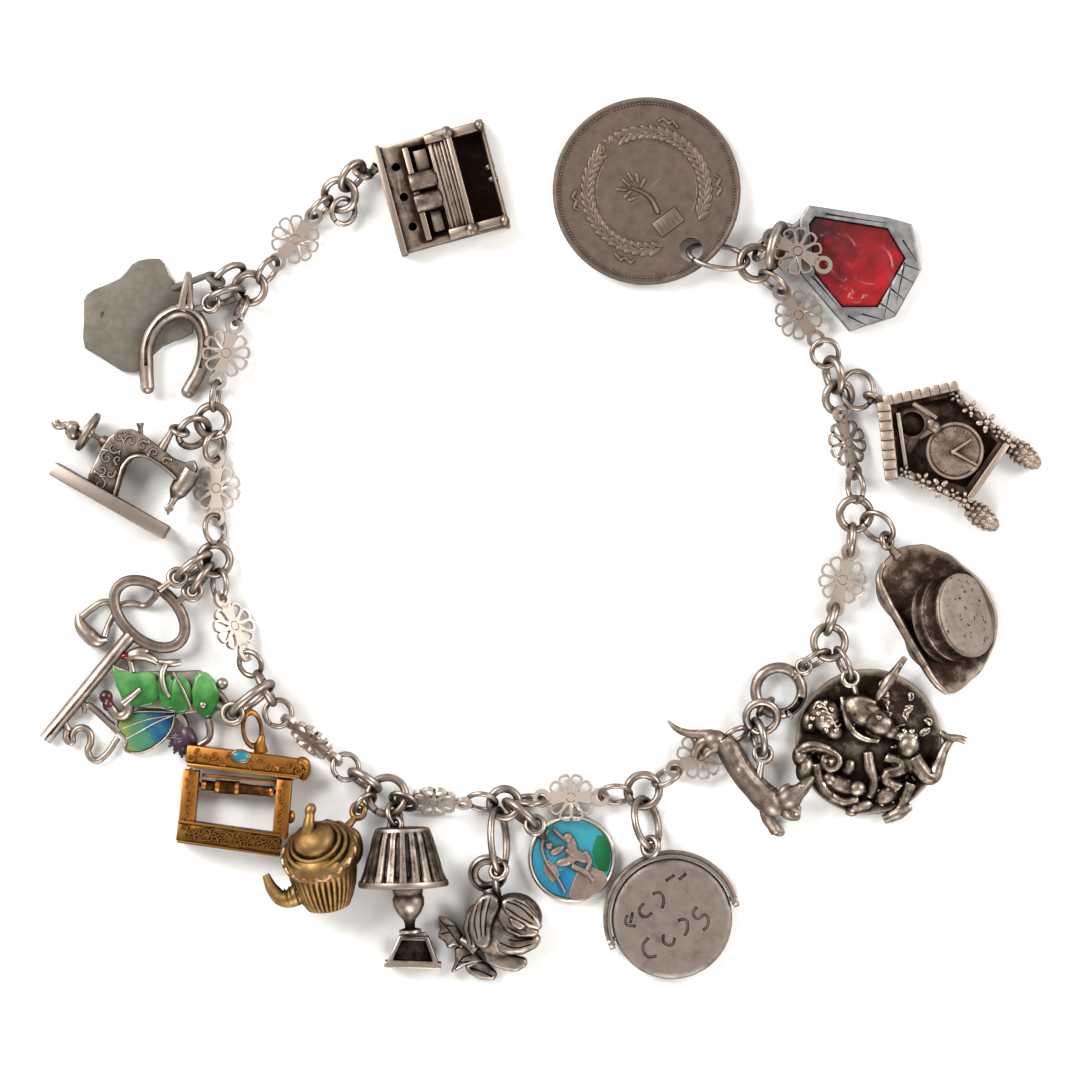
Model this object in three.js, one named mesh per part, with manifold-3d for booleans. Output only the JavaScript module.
// Charm bracelet lying flat and open: twelve pierced daisy links, wire rings between them, a bolt ring clasp
// and nineteen charms. Millimetres, +Z up, floor at z = 0, the wrist opening in the middle.
import * as THREE from "three";
import Module from "manifold-3d";

const wasm = await Module();
wasm.setup();

// ---------- driving dimensions ----------
const PETALS = 10;
const PETAL_REACH = 2.95;
const PLATE = 0.6;
const EYELET_AT = 3.5;
const EYELET_HOLE = 0.68;
const EYELET_OUTER = 1.16;
const RING_SIDES = 5;
const RING_STEPS = 10;
const FACET = 0.12; // how far a joined solid's surface may move when small facets are merged
const FUSE = 0.02; // extra wire radius that joins rings lying against each other
const LOOP_WIRE = 0.4;
const HANGER_PLAY = 0.2; // between a charm's loop and the ring through it

// ---------- helpers ----------
const RAD = Math.PI / 180;
const group = new THREE.Group();

function solid(geometry) {
  const g = geometry.clone();
  g.deleteAttribute("normal");
  g.deleteAttribute("uv");
  const pos = g.attributes.position;
  const index = g.index ? Array.from(g.index.array) : [...Array(pos.count).keys()];
  const keys = new Map();
  const verts = [];
  const remap = index.map((i) => {
    const p = [pos.getX(i), pos.getY(i), pos.getZ(i)];
    const key = p.map((v) => Math.round(v * 1e4)).join(",");
    if (!keys.has(key)) {
      keys.set(key, verts.length / 3);
      verts.push(...p);
    }
    return keys.get(key);
  });
  const tris = [];
  for (let i = 0; i < remap.length; i += 3) {
    const [a, b, c] = remap.slice(i, i + 3);
    if (a !== b && b !== c && a !== c) tris.push(a, b, c);
  }
  const mesh = new wasm.Mesh({
    numProp: 3,
    vertProperties: new Float32Array(verts),
    triVerts: new Uint32Array(tris),
  });
  return new wasm.Manifold(mesh);
}

function geometryOf(manifold) {
  const mesh = manifold.getMesh();
  const g = new THREE.BufferGeometry();
  g.setAttribute("position", new THREE.BufferAttribute(Float32Array.from(mesh.vertProperties), 3));
  g.setIndex(new THREE.BufferAttribute(Uint32Array.from(mesh.triVerts), 1));
  return g;
}

// Joins parts and fills the pockets sealed between rings that lie against each other.
function joined(...parts) {
  const facet = parts.length > 2 ? FACET : FACET / 4;
  const whole = parts.map(solid).reduce((a, b) => a.add(b));
  const shells = whole.simplify(facet).decompose().filter((shell) => shell.volume() > 0);
  return geometryOf(shells.reduce((a, b) => a.add(b)));
}
const cut = (base, ...tools) => geometryOf(tools.map(solid).reduce((a, b) => a.subtract(b), solid(base)));

function add(name, geometry, parent = group) {
  geometry.computeVertexNormals();
  const mesh = new THREE.Mesh(geometry, new THREE.MeshStandardMaterial({ color: 0xb8aca2 }));
  mesh.name = name;
  parent.add(mesh);
}

function posed(geometry, { x = 0, y = 0, z = 0, turn = 0, lean = 0, roll = 0 }) {
  const euler = new THREE.Euler(roll * RAD, lean * RAD, turn * RAD, "ZYX");
  const m = new THREE.Matrix4().makeRotationFromEuler(euler).setPosition(x, y, z);
  return geometry.clone().applyMatrix4(m);
}

// A flat plate between two heights with a straight outline.
function slab(points, z0, z1, holes = []) {
  const shape = new THREE.Shape(points.map(([x, y]) => new THREE.Vector2(x, y)));
  shape.holes = holes.map((h) => new THREE.Path(h.map(([x, y]) => new THREE.Vector2(x, y))));
  const g = new THREE.ExtrudeGeometry(shape, { depth: z1 - z0, bevelEnabled: false });
  return g.translate(0, 0, z0);
}

// A straight bar of rectangular section from a to b, seen from above.
function bar(a, b, width, z0, z1) {
  const length = Math.hypot(b[0] - a[0], b[1] - a[1]);
  const turn = Math.atan2(b[1] - a[1], b[0] - a[0]) / RAD;
  const g = new THREE.BoxGeometry(length, width, z1 - z0);
  return posed(g, { x: (a[0] + b[0]) / 2, y: (a[1] + b[1]) / 2, z: (z0 + z1) / 2, turn });
}

const box = (x0, x1, y0, y1, z0, z1) =>
  new THREE.BoxGeometry(x1 - x0, y1 - y0, z1 - z0).translate((x0 + x1) / 2, (y0 + y1) / 2, (z0 + z1) / 2);

const disc = ([x, y], radius, z0, z1, sides = 32) =>
  new THREE.CylinderGeometry(radius, radius, z1 - z0, sides).rotateX(Math.PI / 2).translate(x, y,
    (z0 + z1) / 2);

const egg = (x, y, z, rx, ry, rz, turn = 0) =>
  posed(new THREE.SphereGeometry(1, 8, 4).scale(rx, ry, rz), { x, y, z, turn });

// Round bar through points [x, y, z] with a radius at each.
function rod(points, radii, sides = 5) {
  const parts = [];
  for (let i = 0; i + 1 < points.length; i += 1) {
    const a = new THREE.Vector3(...points[i]);
    const b = new THREE.Vector3(...points[i + 1]);
    const length = a.distanceTo(b);
    const g = new THREE.CylinderGeometry(radii[i + 1], radii[i], length, sides);
    const q = new THREE.Quaternion().setFromUnitVectors(new THREE.Vector3(0, 1, 0),
      b.clone().sub(a).normalize());
    g.applyQuaternion(q).translate((a.x + b.x) / 2, (a.y + b.y) / 2, (a.z + b.z) / 2);
    parts.push(g);
    if (i > 0) parts.push(new THREE.SphereGeometry(radii[i] * 1.03, 5, 4).translate(a.x, a.y, a.z));
  }
  return joined(...parts);
}

// Wire ring: length along its own x, width across it, then tilted about x, pitched and turned.
function ring({ x, y, z, length, width = length, wire, turn = 0, tilt = 0, pitch = 0 }, extra = 0) {
  const r = wire / 2;
  const [a, b] = [length / 2 - r, width / 2 - r];
  const g = new THREE.TorusGeometry(a, r + extra, RING_SIDES, RING_STEPS);
  const p = g.attributes.position;
  for (let i = 0; i < p.count; i += 1) {
    const t = Math.atan2(p.getY(i), p.getX(i));
    p.setY(i, p.getY(i) + (b - a) * Math.sin(t));
  }
  return posed(g, { x, y, z, turn, lean: -pitch, roll: tilt });
}

// Standing loop given by its centre and the direction its hole looks.
function loop([x, y], z, radius, wire, [nx, ny, nz]) {
  const g = new THREE.TorusGeometry(radius, wire, 5, 10);
  const q = new THREE.Quaternion().setFromUnitVectors(
    new THREE.Vector3(0, 0, 1),
    new THREE.Vector3(nx, ny, nz).normalize(),
  );
  return g.applyQuaternion(q).translate(x, y, z);
}

// ---------- daisy links ----------
function daisyPlate() {
  const outline = [];
  for (let i = 0; i < PETALS; i += 1) {
    const middle = (i * 360) / PETALS;
    for (const [offset, reach] of [[-18, 0.87], [-9, 1], [9, 1]]) {
      const t = (middle + offset) * RAD;
      outline.push([PETAL_REACH * reach * Math.cos(t), PETAL_REACH * reach * Math.sin(t)]);
    }
  }
  const holes = [];
  for (let i = 0; i < PETALS; i += 1) {
    if (i % 5 === 0) continue;
    const t = ((i * 360) / PETALS) * RAD;
    const hole = [];
    for (const [u, v] of [[1.15, 0], [2.2, 0.42], [2.65, 0], [2.2, -0.42]]) {
      hole.push([u * Math.cos(t) - v * Math.sin(t), u * Math.sin(t) + v * Math.cos(t)]);
    }
    holes.push(hole);
  }
  const plate = slab(outline, -PLATE / 2, PLATE / 2, holes);
  const eyelets = [-1, 1].map((side) => disc([side * EYELET_AT, 0], EYELET_OUTER, -PLATE / 2, PLATE / 2,
    8));
  const bores = [-1, 1].map((side) => disc([side * EYELET_AT, 0], EYELET_HOLE, -2, 2, 8));
  return cut(joined(plate, ...eyelets), ...bores);
}

// One row a link: centre, height of the middle, direction of its eyelets and tilt about that line.
const DAISIES = [
  { n: "01", x: -29.64, y: 36.12, z: 1.3, turn: 51, tilt: 6 },
  { n: "02", x: -37.92, y: 22.44, z: 2.1, turn: 73, tilt: 14 },
  { n: "03", x: -39.12, y: 6.24, z: 1.05, turn: 90, tilt: -8 },
  { n: "04", x: -36.96, y: -10.32, z: 2.4, turn: -66, tilt: -42 },
  { n: "05", x: -27.6, y: -24, z: 2.8, turn: -39, tilt: 62 },
  { n: "06", x: -12.96, y: -31.32, z: 2.7, turn: -4, tilt: 55 },
  { n: "07", x: 3.48, y: -30.96, z: 1.5, turn: 1, tilt: -12 },
  { n: "08", x: 19.08, y: -25.92, z: 1.2, turn: 27, tilt: 3 },
  { n: "09", x: 36.12, y: -4.8, z: 1.45, turn: 75, tilt: 5 },
  { n: "10", x: 36.6, y: 11.64, z: 2.4, turn: -77, tilt: -42 },
  { n: "11", x: 30.84, y: 27, z: 1.4, turn: -54, tilt: 6 },
  { n: "12", x: 30.6, y: 34.56, z: 2.95, turn: -28, tilt: -10 },
];
const daisy = daisyPlate();
for (const row of DAISIES) {
  add(`daisy_link_${row.n}`, posed(daisy, { ...row, roll: row.tilt }));
}

// ---------- rings between the daisies ----------
// One row a ring: the group it is joined in, centre x y z, outer length and width, wire, its turn, tilt and
// pitch in degrees, then the charm it holds and where round the ring that charm's loop sits.
const RINGS = [
  ["01", -26.56, 39.94, 1.9, 3.96, 3.96, 0.65, 43.7, 73.8, 2.1],
  ["01", -24.25, 41.39, 2.31, 4.68, 4.68, 0.96, -2.1, 18.1, 7.5],
  ["01", -23.84, 39.46, 1.79, 3.72, 3.72, 0.65, 0.6, 6.3, -28],
  ["01", -22.73, 43.62, 2.97, 4.56, 4.32, 0.84, 50.8, 59.9, -3.9, "piano", -50],
  ["02", -32.91, 32.35, 1.89, 4.08, 4.08, 0.65, 52.9, 65.8, -4.5],
  ["02", -35.06, 30.22, 2.19, 4.5, 4.5, 0.96, 7.6, 3.2, -1.1],
  ["02", -37.59, 31.41, 2.29, 5.28, 4.8, 0.84, 20.7, 55, -35.7, "shield_plate", 164],
  ["02", -37.92, 29.28, 2.33, 5.04, 4.56, 0.84, 17.2, 71.5, -10.9, "horseshoe", 206],
  ["02", -36.12, 27.51, 2.12, 4.08, 4.08, 0.65, 70.7, -72.4, -12.9],
  ["03", -39.2, 17.3, 2.11, 4.08, 4.08, 0.65, 83.2, 80.9, 9.1],
  ["03", -39.54, 14.27, 1.95, 4.68, 4.68, 0.96, 90.2, -3.1, 0.3],
  ["03", -41.79, 12.91, 2.09, 4.74, 4.74, 0.84, -5.2, 26.6, -32.6, "sewing_machine", 180],
  ["03", -39.29, 11.24, 1.71, 4.08, 4.08, 0.65, 86.7, 52.3, 15],
  ["04", -39.3, 1.3, 1.68, 4.08, 4.08, 0.65, 92.9, 52.9, -6.7],
  ["04", -39.3, -2.38, 1.77, 4.56, 4.56, 0.96, 1, -1.5, -3.3],
  ["04", -41.79, -3.13, 2.67, 5.64, 5.28, 0.89, 37.3, 78.9, -1.3, "stirrup", 171],
  ["04", -40.8, -4.55, 2.38, 4.8, 4.56, 0.89, 54.8, 87.8, -9.9, "key_21", 180],
  ["04", -38.69, -5.3, 2.01, 4.08, 4.08, 0.65, 92.3, -58.2, 0.2],
  ["05", -34.97, -14.87, 2.46, 3.72, 3.72, 0.65, 82.9, -24.2, 22.5],
  ["05", -33.19, -17.76, 2.67, 5.04, 4.56, 0.96, -61.6, 91.2, 11.6],
  ["05", -34.7, -18.97, 4.32, 6.84, 6, 1.02, 37.9, 80.1, 1.5, "pixie", 180],
  ["05", -31.62, -20.75, 2.75, 3.84, 3.84, 0.65, 10.5, -5.1, -1],
  ["06", -23.52, -27.2, 2.72, 3.78, 3.78, 0.65, 1.1, -10, -14.2],
  ["06", -21.27, -28.82, 2.41, 4.8, 4.56, 1.02, -31.7, 73.2, 3.8],
  ["06", -18.58, -30.66, 2.62, 5.4, 5.4, 0.96, 8.8, -11.4, -2.1],
  ["06", -16.6, -31.32, 2.96, 3.84, 3.84, 0.65, 9, 45.1, 39.6],
  ["06", -21.17, -31.45, 2.75, 3.36, 3.36, 0.65, 50.6, 59.9, 13.2, "teapot", 180],
  ["06", -17.69, -32.91, 3.31, 3.36, 3.12, 0.65, 103.2, 57.8, -11.4, "table_lamp", 169],
  ["07", -7.21, -31.39, 2.06, 4.08, 4.08, 0.65, -6.9, 54.9, 0.5],
  ["07", -4.51, -31.59, 2.11, 4.44, 4.44, 0.96, 4.7, -4, -0.7],
  ["07", -5.2, -35.94, 2.81, 8.4, 5.52, 0.86, 92.3, 67.3, -11.8, "rose", 173],
  ["07", -2.6, -32.79, 2.54, 5.52, 5.04, 0.96, -38.2, 76.6, 7.6, "enamel_medal", 2],
  ["07", -1.5, -31.23, 2.06, 4.08, 4.08, 0.65, -4.4, -75, 19.9],
  ["08", 8.81, -30.54, 1.77, 4.32, 4.32, 0.65, -3.2, 53.6, -5.8],
  ["08", 12.14, -30.08, 1.82, 4.8, 4.8, 0.96, 9.3, -1.4, -2.9],
  ["08", 12.54, -33.88, 2.49, 6.84, 5.52, 0.86, 99.3, 54.5, -15.3, "spinner_bracket", 180],
  ["08", 14.96, -28.43, 1.87, 4.08, 4.08, 0.65, 28.5, -66.9, 1.3],
  ["09", 23.21, -23.47, 1.66, 3.72, 3.72, 0.65, 47.4, 57, 33.2],
  ["09", 26.35, -21.21, 2.42, 4.68, 4.68, 0.96, 3, 15.5, 1.5],
  ["09", 26, -23.63, 2.22, 5.04, 4.56, 0.89, -77.9, 73.9, 6.2, "dachshund", 4],
  ["09", 26.82, -20.04, 1.42, 3.1, 3, 0.55, 48.5, 70.6, 1.4],
  ["10", 32.85, -14.29, 2.05, 4.32, 4.08, 0.65, 21.1, 66.3, -20.8],
  ["10", 34.47, -12.27, 2.16, 4.8, 4.8, 0.96, 5.5, -2.9, -9.2],
  ["10", 36.11, -14.77, 3.1, 4.56, 4.08, 0.65, -66, 76.1, -1.3, "figure_dish", 1],
  ["10", 34.76, -9.53, 2.01, 4.32, 4.08, 0.89, 70.8, 93.5, -0.1],
  ["11", 37.12, 0.04, 2.08, 4.32, 4.2, 0.84, 84.8, 91.8, 0.6],
  ["11", 37.55, 3.1, 2.22, 4.68, 4.68, 0.96, 90.1, 3.5, 6.2],
  ["11", 40.27, 1.58, 2.1, 4.92, 4.56, 0.65, -48.5, 45.3, -11.2, "hat", -11],
  ["11", 37.6, 6.34, 2.35, 4.2, 4.2, 0.65, 99.8, -62.7, -9.4],
  ["12", 35.59, 17.19, 1.7, 4.44, 4.44, 0.96, 88.2, 24.6, 14.8],
  ["12", 37.93, 18.04, 1.2, 5.4, 4.56, 0.65, 86.2, 4.3, -16.3, "cuckoo_clock", 251],
  ["12", 35.01, 19.81, 2.17, 4.92, 4.56, 0.96, -75.7, 65, 1.9],
  ["12", 33.98, 22.4, 2.12, 3.84, 3.84, 0.65, 6.9, 6, 2.8],
  ["13", 27.74, 30.99, 2.1, 4.32, 4.32, 0.65, -46.4, 69.5, -24.4],
  ["13", 25.62, 33.2, 2.12, 4.92, 4.68, 0.96, 93.7, 7.2, -2.7],
  ["13", 21.12, 34.01, 2.12, 7.92, 5.04, 0.65, -11.8, -48.6, 6.7],
  ["13", 28.12, 35.26, 3.1, 6.72, 5.52, 1.14, 62.8, 66.4, -40.2, "red_shield", -2],
  ["13", 26.59, 35.09, 2.52, 4.08, 3.96, 0.65, 53.6, -69.6, 3.5],
].map(([chain, x, y, z, length, width, wire, turn, tilt, pitch, holds, end]) => ({
  chain, x, y, z, length, width, wire, turn, tilt, pitch, holds, end,
}));

// Points along the middle of a ring's wire.
function wireLine({ x, y, z, length, width, wire, turn, tilt, pitch }) {
  const line = new THREE.BufferGeometry().setFromPoints(
    Array.from({ length: 48 }, (_, i) => {
      const t = (i / 48) * 2 * Math.PI;
      return new THREE.Vector3(((length - wire) / 2) * Math.cos(t), ((width - wire) / 2) * Math.sin(t), 0);
    }),
  );
  const p = posed(line, { x, y, z, turn, lean: -pitch, roll: tilt }).attributes.position;
  return Array.from({ length: p.count }, (_, i) => new THREE.Vector3().fromBufferAttribute(p, i));
}

// Where a ring lies against the rings before it, as a short stub that joins them.
function seat(row, others) {
  let best = { gap: Infinity };
  for (const a of wireLine(row)) {
    for (const b of others.flatMap(wireLine)) {
      const gap = a.distanceTo(b);
      if (gap < best.gap) best = { gap, a, b };
    }
  }
  return rod([best.a.toArray(),
    best.b.clone().add(best.b.clone().sub(best.a).setLength(0.05)).toArray()], [0.26, 0.26], 4);
}

const chains = new Map();
for (const row of RINGS) chains.set(row.chain, [...(chains.get(row.chain) ?? []), row]);
for (const [chain, rows] of chains) {
  const rings = rows.map((row) => ring(row, FUSE));
  const seats = rows.slice(1).map((row, i) => seat(row, rows.slice(0, i + 1)));
  add(`chain_links_${chain}`, joined(...rings, ...seats));
}

// A charm's own loop round the wire of the ring that holds it, with a stem down to its foot on the charm.
function hanger(charm, foot, footRadius = 0.6, wire = LOOP_WIRE) {
  const row = RINGS.find((r) => r.holds === charm);
  const t = row.end * RAD;
  const [a, b] = [(row.length - row.wire) / 2, (row.width - row.wire) / 2];
  const pose = { ...row, lean: -row.pitch, roll: row.tilt };
  const spot = new THREE.BufferGeometry().setFromPoints([
    new THREE.Vector3(a * Math.cos(t), b * Math.sin(t), 0),
    new THREE.Vector3(a * Math.cos(t) - a * Math.sin(t), b * Math.sin(t) + b * Math.cos(t), 0),
  ]);
  const p = posed(spot, pose).attributes.position;
  const centre = new THREE.Vector3().fromBufferAttribute(p, 0);
  const along = new THREE.Vector3().fromBufferAttribute(p, 1).sub(centre).normalize();
  const radius = wire + row.wire / 2 + HANGER_PLAY;
  const q = new THREE.Quaternion().setFromUnitVectors(new THREE.Vector3(0, 0, 1), along);
  const eye = new THREE.TorusGeometry(radius, wire, 5, 8).applyQuaternion(q).translate(...centre);
  const start = new THREE.Vector3(...foot).sub(centre).projectOnPlane(along).setLength(radius).add(centre);
  return joined(eye, rod([start.toArray(), foot], [wire, footRadius]));
}

// ---------- bolt ring clasp ----------
const CLASP = { x: 28.44, y: -18.12, z: 1.35, mean: 2.78, tube: 0.66, slot: [-75, -15] };
{
  const tube = new THREE.TorusGeometry(CLASP.mean, CLASP.tube, 7, 20).translate(CLASP.x, CLASP.y, CLASP.z);
  const tab = bar([30.48, -16.38], [31.08, -15.66], 0.8, 1.1, 1.9);
  const tabLoop = loop([31.44, -15.24], 1.6, 0.8, 0.34, [-0.3, 0.2, 1]);
  const arc = [];
  for (let i = 0; i <= 6; i += 1) arc.push([CLASP.mean + 0.36,
    CLASP.slot[0] + (i / 6) * (CLASP.slot[1] - CLASP.slot[0])]);
  for (let i = 6; i >= 0; i -= 1) arc.push([CLASP.mean - 0.36,
    CLASP.slot[0] + (i / 6) * (CLASP.slot[1] - CLASP.slot[0])]);
  const path = arc.map(([r, a]) => [CLASP.x + r * Math.cos(a * RAD), CLASP.y + r * Math.sin(a * RAD)]);
  add("bolt_ring", cut(joined(tube, tab, tabLoop), slab(path, CLASP.z + 0.15, 3)));
  const at = (r, a, z) => [CLASP.x + r * Math.cos(a * RAD), CLASP.y + r * Math.sin(a * RAD), z];
  add("bolt_ring_trigger", rod([at(CLASP.mean, -66, 1.62), at(CLASP.mean, -66, 2.4), at(3.25, -66, 2.7)],
    [0.2, 0.24, 0.42], 8));
}

// ---------- upright piano ----------
{
  const at = { x: -12.0, y: 42.3, turn: 105 };
  const parts = [
    box(-6.5, 6.5, -6.5, 6.5, 0, 3.1),
    box(-6.7, 6.7, 6.0, 6.8, 0, 3.5),
    box(-6.7, 6.7, -6.8, -6.2, 0, 3.4),
    box(-6.4, 6.4, -2.6, 0.8, 3.0, 5.2),
    box(-6.6, -5.9, -2.8, 0.8, 3.0, 5.8),
    box(5.9, 6.6, -2.8, 0.8, 3.0, 5.8),
    box(-5.4, 5.4, 0.8, 1.3, 3.0, 4.1),
    box(-2.5, 2.5, 1.5, 5.9, 3.0, 3.8),
    box(-5.9, -5.0, -6.8, -2.4, 3.9, 4.9),
    box(5.0, 5.9, -6.8, -2.4, 3.9, 4.9),
    box(-5.9, -5.0, -6.8, -6.0, 3.0, 4.9),
    box(5.0, 5.9, -6.8, -6.0, 3.0, 4.9),
  ].map((g) => posed(g, at));
  const hang = hanger("piano", [-19.8, 44.88, 1.8], 0.7);
  add("piano", joined(...parts, hang));
}

// ---------- coin, its far edge on the floor and the ring's wire under its near edge ----------
{
  const base = cut(disc([0, 0], 11.28, 0, 1.1, 40), disc([8.85, 0], 1.44, -1, 3, 12));
  const rim = cut(disc([0, 0], 11.28, 1.0, 1.4, 40), disc([0, 0], 10.5, 0, 3, 40));
  const coin = joined(base, rim);
  add("coin", posed(coin, { x: 12.6, y: 41.88, z: 0.63, turn: -53.3, lean: -3.2 }));
}

// ---------- red enamel shield ----------
const SHIELD_FRAME = [
  [32.04, 40.2], [41.4, 38.76], [44.4, 37.92], [45.6, 32.52], [42.48, 26.88], [36.96, 25.08],
    [30.96, 32.16], [30.96, 38.64],
];
const SHIELD_FIELD = [[32.76, 38.88], [41.52, 37.44], [43.68, 33.84], [40.32, 27.96], [36, 27.96],
  [32.76, 31.92], [32.04, 37.92]];
{
  const body = slab(SHIELD_FRAME, 0, 1.7);
  const field = slab(SHIELD_FIELD, 1.45, 3);
  const hang = hanger("red_shield", [31.44, 38.16, 0.9], 0.6);
  add("red_shield", joined(cut(body, field), hang));
}

// ---------- cuckoo clock ----------
{
  const parts = [
    slab([[41.04, 16.32], [49.32, 18.12], [55.56, 11.64], [51, 5.04], [42.24, 7.92]], 0, 3.4),
    bar([41.16, 16.62], [49.8, 18.48], 1.9, 0, 4.6),
    bar([41.4, 16.68], [42.6, 7.08], 1.9, 0, 4.6),
    disc([49.44, 10.68], 3.5, 3.3, 4.3, 24),
    bar([49.8, 17.76], [55.68, 11.76], 1.7, 0.4, 4.0),
    bar([42.6, 8.04], [50.88, 4.92], 1.7, 0.4, 4.0),
    bar([55.68, 11.52], [51.12, 4.92], 1.3, 0.4, 3.9),
    bar([44.28, 16.2], [46.08, 14.88], 1.5, 3.2, 4.8),
    egg(46.68, 13.8, 4.6, 1.2, 0.85, 0.8, -40),
    rod([[55.32, 12, 1.3], [56.4, 11.16, 1.2], [59.88, 8.64, 1.15]], [0.4, 1.1, 0.75]),
    rod([[50.4, 4.56, 1.3], [51.12, 3.72, 1.2], [54.84, 1.2, 1.15]], [0.4, 1.1, 0.75]),
  ];
  const hang = hanger("cuckoo_clock", [41.28, 16.56, 3.4], 0.55);
  add("cuckoo_clock", joined(...parts, hang));
}

// ---------- hat with a curled brim ----------
{
  const brim = slab(
    [
      [40.32, -4.56], [41.4, -2.4], [43.56, -0.84], [46.56, -0.72], [50.4, -1.92], [54, -4.44],
        [56.16, -7.8], [56.16, -10.8],
      [54.36, -13.56], [51.96, -16.8], [49.32, -18.48], [48, -18.36], [45.96, -15.36], [43.32, -10.8],
    ],
    0, 1.6,
  );
  const crown = posed(new THREE.CylinderGeometry(0.92, 1.12, 4.2, 24).rotateX(Math.PI / 2).scale(5.0,
    4.2, 1), {
    x: 51.24, y: -8.88, z: 3.2, turn: -70,
  });
  const curl = rod(
    [[41.04, -3.84, 1.5], [40.68, -5.4, 1.9], [43.56, -11.4, 2.2], [45.96, -15.36, 2.0],
      [48.24, -17.76, 1.4]],
    [0.7, 0.85, 0.95, 0.9, 0.7],
  );
  const hang = hanger("hat", [42.84, -2.04, 1.1], 0.7);
  add("hat", joined(brim, crown, curl, hang));
}

// ---------- round dish with a group of small figures ----------
{
  const parts = [
    cut(disc([39.24, -24.24], 8.7, 0, 1.4, 30), disc([39.24, -24.24], 7.9, 0.8, 5, 30)),
    egg(39.6, -21.84, 2.6, 3.0, 2.0, 1.9, 30),
    egg(33.24, -21.12, 2.0, 1.6, 1.6, 1.5),
    egg(34.8, -26.4, 2.2, 2.2, 2.2, 1.9),
    egg(31.32, -26.64, 1.8, 1.2, 2.0, 1.5, 10),
    egg(36, -29.64, 2.0, 3.2, 1.3, 1.4, -20),
    egg(44.04, -24.96, 2.3, 1.6, 1.8, 1.7),
    egg(47.76, -23.76, 2.0, 1.2, 2.6, 1.4, 10),
    egg(44.76, -29.4, 1.9, 2.4, 1.8, 1.6, 30),
    rod([[40.56, -19.92, 3.0], [42.36, -15.6, 3.2], [43.44, -14.28, 3.0]], [0.75, 0.6, 0.5]),
  ];
  const hang = hanger("figure_dish", [38.52, -21.12, 0.7], 0.7);
  add("figure_dish", joined(...parts, hang));
}

// ---------- dachshund, its rump over a link and its nose over the dish ----------
{
  const parts = [
    rod(
      [[19.68, -24.48, 3.2], [21.96, -25.8, 3.1], [24.24, -28.32, 2.7], [27.72, -31.08, 2.6]],
      [1.3, 1.6, 1.7, 1.85], 10,
    ),
    rod([[19.56, -23.64, 3.1], [17.76, -23.16, 2.6], [15, -21.72, 2.1]], [0.8, 0.6, 0.25]),
    rod([[19.32, -24.24, 2.7], [18.6, -26.04, 2.3], [18.12, -26.88, 2.1]], [0.9, 0.7, 0.6]),
    rod([[21.84, -25.2, 3.0], [20.88, -27.36, 2.4]], [0.9, 0.65]),
    rod([[27.96, -30.84, 2.7], [30.36, -30, 3.4]], [1.5, 1.2]),
    egg(30.6, -29.88, 3.5, 2.0, 1.6, 1.4, -20),
    rod([[31.68, -30.36, 3.6], [33.6, -31.32, 3.4]], [1.0, 0.65]),
    rod([[27.6, -31.2, 1.9], [27.36, -33, 1.2], [27.6, -35.28, 0.75]], [1.2, 0.8, 0.7]),
    rod([[29.28, -31.56, 1.9], [30, -33.36, 0.9]], [1.0, 0.7]),
  ];
  const hang = hanger("dachshund", [25.44, -29.28, 2.5], 0.7);
  add("dachshund", joined(...parts, hang));
}

// ---------- disc spinning in a half-round bracket ----------
const SPIN = { x: 15.6, y: -45.48, z: 1.6, turn: 19, radius: 7.05, thick: 1.2, hoop: 7.95 };
{
  const spinner = joined(
    disc([0, 0], SPIN.radius, -SPIN.thick / 2, SPIN.thick / 2, 40),
    new THREE.CylinderGeometry(0.3, 0.3, 2 * SPIN.radius + 1.8, 8).rotateZ(Math.PI / 2),
  );
  add("spinner_disc", posed(spinner, SPIN));
  const half = cut(new THREE.TorusGeometry(SPIN.hoop, 0.42, 5, 26), box(-12, 12, -12, -0.6, -3, 3));
  const ends = [-1, 1].map((side) => new THREE.SphereGeometry(0.85, 8, 6).translate(side * 8.35, -0.1, 0));
  const bores = new THREE.CylinderGeometry(0.4, 0.4, 2 * SPIN.radius + 2.3, 10).rotateZ(Math.PI / 2);
  const bracket = cut(joined(half, ...ends), bores);
  const hang = hanger("spinner_bracket", [13.2, -38.1, 1.6], 0.5);
  add("spinner_bracket", joined(posed(bracket, SPIN), hang));
}

// ---------- enamel medal ----------
{
  const body = cut(disc([3.6, -38.4], 5.2, 0, 1.2, 36), disc([3.6, -38.4], 4.7, 0.9, 3, 36));
  const figure = egg(3.36, -38.64, 1.0, 1.6, 3.4, 0.7, 10);
  const hang = hanger("enamel_medal", [0.12, -35.76, 0.7], 0.6);
  add("enamel_medal", joined(body, figure, hang));
}

// ---------- rose on a wide bail ----------
{
  const bloom = posed(new THREE.SphereGeometry(1, 12, 6).scale(5.2, 4.9, 2.6), { x: -5.04, y: -47.04,
    z: 2.3 });
  const parts = [
    cut(bloom, box(-30, 30, -80, 0, -5, 0)),
    egg(-10.8, -47.76, 1.3, 2.6, 1.2, 0.9, 60),
    egg(-11.04, -50.16, 1.2, 2.2, 1.1, 0.8, 120),
    egg(-6, -51.6, 1.2, 1.8, 1.6, 0.9),
    ring({ x: -6.48, y: -40.08, z: 2.4, length: 4.9, width: 4.0, wire: 0.9, turn: 80, tilt: 35 }),
    rod([[-6.12, -42, 2.2], [-5.76, -43.2, 2.6]], [0.7, 0.9]),
  ];
  const hang = hanger("rose", [-5.4, -42.84, 2.4], 0.9);
  add("rose", joined(...parts, hang));
}

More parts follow.
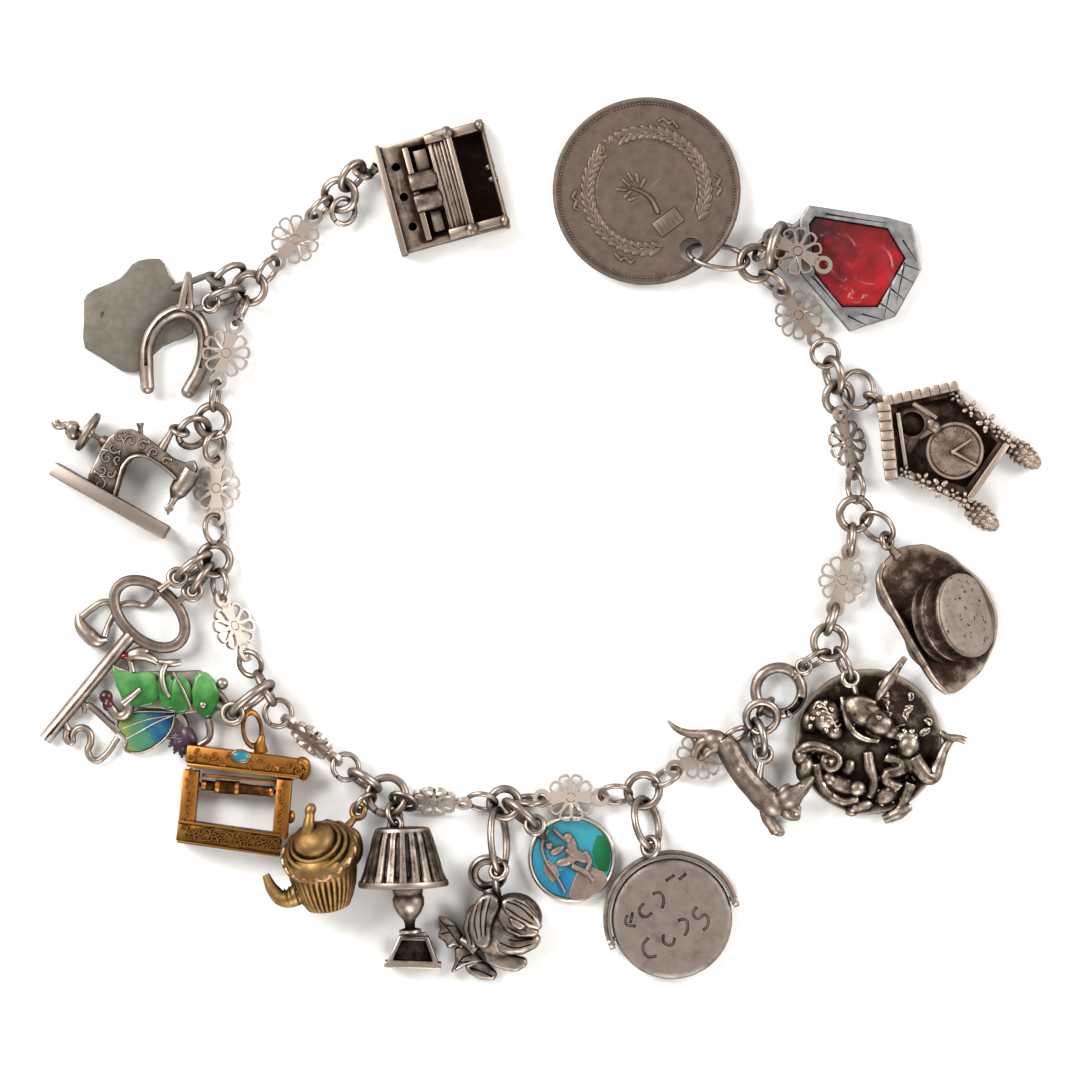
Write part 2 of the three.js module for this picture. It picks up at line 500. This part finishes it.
// ---------- turned things lying on their side: profile rows [radius, height along the axis] ----------
function turned(profile, from, to, z, sides = 20, rise = 0) {
  const points = profile.map(([r, h]) => new THREE.Vector2(r, h));
  const g = new THREE.LatheGeometry([new THREE.Vector2(0, profile[0][1]), ...points, new THREE.Vector2(0,
    profile.at(-1)[1])], sides);
  const dir = new THREE.Vector3(to[0] - from[0], to[1] - from[1], rise).normalize();
  const q = new THREE.Quaternion().setFromUnitVectors(new THREE.Vector3(0, 1, 0), dir);
  return g.applyQuaternion(q).translate(from[0], from[1], z);
}

// ---------- pleated table lamp ----------
{
  const shade = turned([[3.3, 0], [3.45, 0.5], [5.3, 6.6], [5.2, 7.1]], [-16.56, -34.56],
    [-16.44, -41.64], 5.3, 22);
  const stem = turned([[1.0, 6.6], [1.9, 8.4], [2.0, 9.4], [1.3, 10.8], [1.1, 12.4]], [-16.56, -34.56],
    [-15.6, -46.8], 5.1, 14);
  const foot = turned([[1.5, 0], [3.3, 3.0], [3.4, 3.8]], [-15.72, -47.28], [-15.48, -51], 3.4, 4);
  const neck = turned([[1.2, 0], [1.2, 2.4]], [-15.84, -45.36], [-15.72, -47.76], 4.4, 10);
  const hang = hanger("table_lamp", [-16.56, -36, 4.6], 0.9);
  add("table_lamp", joined(shade, stem, neck, foot, hang));
}

// ---------- fluted teapot ----------
{
  const body = turned(
    [[0.6, -0.9], [0.7, 0], [2.5, 1.2], [3.6, 2.8], [4.5, 4.6], [4.3, 6.2], [3.3, 9.0], [2.4, 10.4]],
    [-26.88, -32.64], [-26.28, -44.04], 4.6, 20,
  );
  const spout = rod(
    [[-28.56, -41.88, 4.4], [-30.24, -42.84, 4.6], [-31.68, -41.88, 4.8], [-32.88, -39.84, 5.0]],
    [1.3, 0.95, 0.7, 0.55],
  );
  const handle = ring({ x: -22.92, y: -39.12, z: 3.4, length: 5.0, width: 3.6, wire: 0.9, turn: 85,
    tilt: 10 });
  const hang = hanger("teapot", [-24.48, -35.76, 3.4], 0.7);
  add("teapot", joined(body, spout, handle, hang));
}

// ---------- gilt miniature mangle with a turning roller ----------
{
  const parts = [
    bar([-42.6, -25.86], [-28.8, -27.24], 2.3, 0, 3.8),
    bar([-42, -27], [-42.6, -34.56], 1.9, 0.5, 3.6),
    bar([-30.84, -28.2], [-31.44, -36.6], 1.7, 0.5, 3.6),
    bar([-43.68, -34.68], [-31.32, -36.36], 2.6, 0, 3.8),
    bar([-43.68, -32.16], [-42.96, -32.28], 1.2, 1.2, 2.8),
    bar([-30.72, -33.12], [-29.64, -33.36], 1.2, 1.2, 2.8),
    egg(-36.12, -26.04, 3.8, 1.25, 0.9, 0.5, -5),
    rod([[-34.56, -25.68, 2.0], [-34.56, -24, 2.8], [-34.56, -22.92, 3.8]], [0.9, 0.7, 0.5]),
  ];
  const bail = ring({ x: -34.74, y: -22.68, z: 2.6, length: 4.9, width: 3.1, wire: 0.8, turn: 96,
    tilt: 24 });
  const bearing = rod([[-43.92, -29.08, 2.2], [-29.04, -30.53, 2.2]], [0.38, 0.38], 10);
  add("mangle_frame", cut(joined(...parts, bail), bearing));
  const barrel = rod([[-40.56, -29.4, 2.2], [-36.24, -29.82, 2.2], [-32.16, -30.24, 2.2]],
    [0.8, 0.8, 0.62], 12);
  const journals = rod([[-42.24, -29.24, 2.2], [-30.48, -30.38, 2.2]], [0.3, 0.3], 8);
  add("mangle_roller", joined(barrel, journals));
}

// ---------- green pixie with an enamel wing and a flower ----------
{
  const parts = [
    egg(-40.32, -18.84, 1.9, 2.7, 2.6, 1.7, -25),
    rod([[-41.52, -18, 1.95], [-45.24, -16.56, 1.7], [-50.04, -15, 1.3]], [1.9, 1.6, 1.2], 9),
    rod([[-44.88, -17.04, 1.6], [-47.04, -18.48, 1.3], [-50.4, -19.2, 1.2], [-51.6, -20.16, 1.1]],
      [0.8, 0.6, 0.6, 0.6]),
    rod([[-42.24, -19.92, 1.6], [-44.4, -21.84, 1.2], [-45.84, -22.56, 1.0]], [0.8, 0.7, 0.6]),
    egg(-47.04, -23.64, 1.0, 3.4, 2.5, 0.7, 20),
    egg(-42.6, -23.16, 1.3, 1.1, 1.2, 1.0, 10),
    rod([[-42.48, -21.84, 1.3], [-41.52, -20.16, 1.6]], [0.45, 0.6]),
    rod([[-42.6, -23.04, 1.3], [-42.48, -21.6, 1.3]], [0.5, 0.45]),
    rod([[-39.36, -18.24, 2.0], [-38.28, -17.52, 2.2]], [0.7, 0.6]),
  ];
  const hang = hanger("pixie", [-39.36, -19.44, 2.0], 0.8);
  add("pixie", joined(...parts, hang));
}

// ---------- coming-of-age key, its bow lying over the stirrup ----------
{
  const bow = ring({ x: -47.1, y: -8.88, z: 1.9, length: 11.2, width: 7.8, wire: 1.36, turn: -42 });
  const parts = [
    bow,
    rod([[-49.68, -11.28, 1.8], [-52.56, -15.36, 1.4], [-59.76, -24.24, 0.8]], [0.9, 0.75, 0.72], 9),
    bar([-57.36, -21.84], [-56.4, -24], 1.2, 0.3, 1.4),
    slab([[-57.12, -24.12], [-55.56, -22.44], [-54, -23.76], [-54.36, -25.44], [-52.92, -26.28],
      [-53.64, -27.24], [-55.68, -25.8], [-55.44, -24.24], [-56.4, -25.08]], 0.3, 1.4),
    slab([[-54.96, -20.04], [-54, -19.44], [-50.4, -23.04], [-51.24, -23.88]], 0.3, 1.4),
    bar([-55.8, -19.32], [-54.24, -20.76], 1.3, 0.3, 1.4),
  ];
  const hang = hanger("key_21", [-43.8, -7.56, 1.9], 0.5);
  add("key_21", joined(...parts, hang));
}

// ---------- stirrup, its strap passing under the key's bow ----------
{
  const bow = [
    [-51, -8.16, 0.5], [-52.56, -7.2, 0.5], [-55.2, -8.76, 0.9], [-54.6, -11.04, 1.0],
    [-52.2, -12.24, 0.9], [-51.36, -10.32, 0.5], [-51, -8.16, 0.5],
  ];
  const strap = [[-45.84, -6, 3.1], [-46.8, -7.2, 1.6], [-47.76, -7.92, 0.5], [-51, -8.16, 0.5]];
  const hang = hanger("stirrup", strap[0], 0.4);
  add("stirrup", joined(rod(bow, [0.4, 0.4, 0.7, 0.95, 0.7, 0.4, 0.4]), rod(strap, [0.4, 0.4, 0.42,
    0.42]), hang));
}

// ---------- sewing machine with a turning handwheel ----------
const WHEEL = { x: -54.42, y: 12.96, z: 2.65, turn: -31 };
const axleAt = (d) => [WHEEL.x + d * Math.cos(WHEEL.turn * RAD),
  WHEEL.y + d * Math.sin(WHEEL.turn * RAD), WHEEL.z];
{
  const parts = [
    bar([-59.04, 8.64], [-45.12, 0.48], 1.6, 0, 5.2),
    slab(
      [[-54.24, 6.36], [-53.88, 7.92], [-52.44, 10.8], [-51.6, 12.48], [-50.4, 13.44], [-48.36, 13.2],
        [-42.72, 7.68], [-42.72, 5.76], [-43.92, 6.36], [-45.36, 8.88],
        [-47.04, 9.36], [-48.96, 9.12], [-50.4, 6.72], [-50.16, 3.84]],
      1.2, 4.0,
    ),
    rod([[-42.24, 7.92, 2.6], [-43.68, 5.16, 2.6], [-44.88, 3.12, 2.6]], [1.3, 0.8, 0.35], 8),
    rod([[-48.12, 12, 2.6], [-48.12, 13.92, 2.6]], [0.5, 0.5]),
    rod([[-51.6, 11.4, 2.65], axleAt(1.6), axleAt(0.05)], [0.8, 0.3, 0.3], 8),
  ];
  const hang = hanger("sewing_machine", [-46.08, 10.08, 2.8], 0.7);
  add("sewing_machine", joined(...parts, hang));
}
{
  const rim = new THREE.TorusGeometry(2.2, 0.42, 5, 16).rotateY(Math.PI / 2);
  const hub = new THREE.CylinderGeometry(0.75, 0.75, 1.3, 10).rotateZ(Math.PI / 2);
  const spokes = [0, 60, 120].map((a) => new THREE.CylinderGeometry(0.22, 0.22, 4.4, 4).rotateX(a * RAD));
  const crank = joined(
    new THREE.CylinderGeometry(0.32, 0.32, 3.2, 7).rotateZ(Math.PI / 2).translate(-1.9, -0.9, 0),
    new THREE.CylinderGeometry(0.6, 0.6, 1.3, 8).rotateZ(Math.PI / 2).translate(-3.6, -0.9, 0),
  );
  const bore = new THREE.CylinderGeometry(0.37, 0.37, 3, 10).rotateZ(Math.PI / 2).translate(1.4, 0, 0);
  add("sewing_handwheel", posed(cut(joined(rim, hub, ...spokes, crank), bore), WHEEL));
}

// ---------- horseshoe, lying over a plain shield plate ----------
{
  const mid = [[-47.52, 18.48], [-47.16, 22.08], [-46.08, 25.2], [-43.68, 26.88], [-41.28, 25.2],
    [-40.8, 22.08], [-42.48, 18]];
  const z = [1.6, 1.7, 1.8, 1.8, 1.5, 1.2, 0.8];
  const parts = mid.slice(1).map((p, i) => bar(mid[i], p, 1.8, z[i] - 0.5, z[i] + 0.55));
  const corners = mid.slice(1, -1).map((p, i) => disc(p, 0.9, z[i + 1] - 0.5, z[i + 1] + 0.55, 12));
  const hang = hanger("horseshoe", [-42.96, 27.12, 1.8], 0.8);
  add("horseshoe", joined(...parts, ...corners, hang));
}
{
  const plate = slab(
    [
      [-55.2, 28.68], [-53.4, 30.36], [-49.92, 31.8], [-48.36, 33.6], [-46.08, 33.96], [-45.48, 33],
        [-44.04, 31.2], [-42.24, 27.84], [-42, 24.72],
      [-44.4, 23.4], [-46.68, 21.36], [-48.72, 19.92], [-49.92, 19.92], [-52.8, 21.72], [-55.32, 23.04],
    ],
    0, 0.9,
  );
  const hang = hanger("shield_plate", [-44.4, 30.24, 0.5], 0.45);
  add("shield_plate", joined(plate, hang));
}

export default group;
